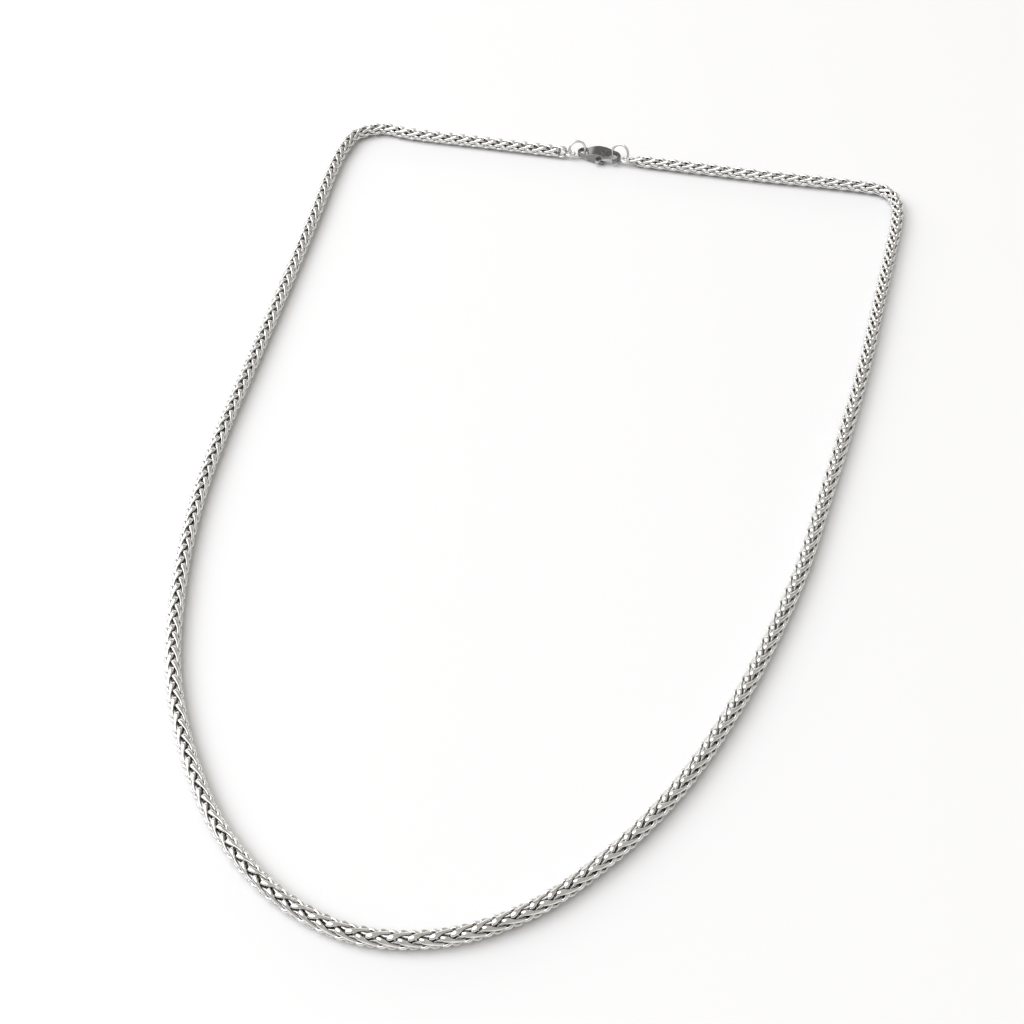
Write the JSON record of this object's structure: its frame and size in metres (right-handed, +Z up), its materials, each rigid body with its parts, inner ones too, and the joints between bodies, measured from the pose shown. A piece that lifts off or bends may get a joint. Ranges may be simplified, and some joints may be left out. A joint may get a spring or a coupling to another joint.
{
  "type": "woven steel neck chain",
  "caption": "Four-sided woven steel neck chain, a closed loop laid flat, with flat end links, jump rings and a lobster clasp with a sprung lever.",
  "frame": {"origin": "centre of the laid-out loop's bounding box, on the surface that it lies on", "axes": "+Y from the rounded front drop to the clasp, +Z up from the surface, +X to the right along the straight back run"},
  "size_m": [0.1361, 0.2113, 0.0046],
  "materials": {
    "chain_steel": "polished stainless steel wire, woven, with dark gaps between the links",
    "ring_steel": "polished stainless steel wire",
    "clasp_steel": "cast stainless steel, tumbled and polished",
    "lever_steel": "stamped stainless steel, polished"
  },
  "bodies": {
    "necklace": {"chain": "chain_steel", "left_link": "ring_steel", "right_link": "ring_steel", "clasp_ring": "ring_steel", "end_ring": "ring_steel", "clasp_body": "clasp_steel", "clasp_pin": "clasp_steel"},
    "lever": {"clasp_lever": "lever_steel"}
  },
  "joints": [
    {"name": "lever_hinge", "type": "hinge", "parent": "necklace", "child": "lever", "pos_m": [-0.00459, 0.10261, 0.0013], "axis": [0, 0, 1], "range_deg": [0, 16], "stiffness_Nm_per_rad": 0.004}
  ]
}
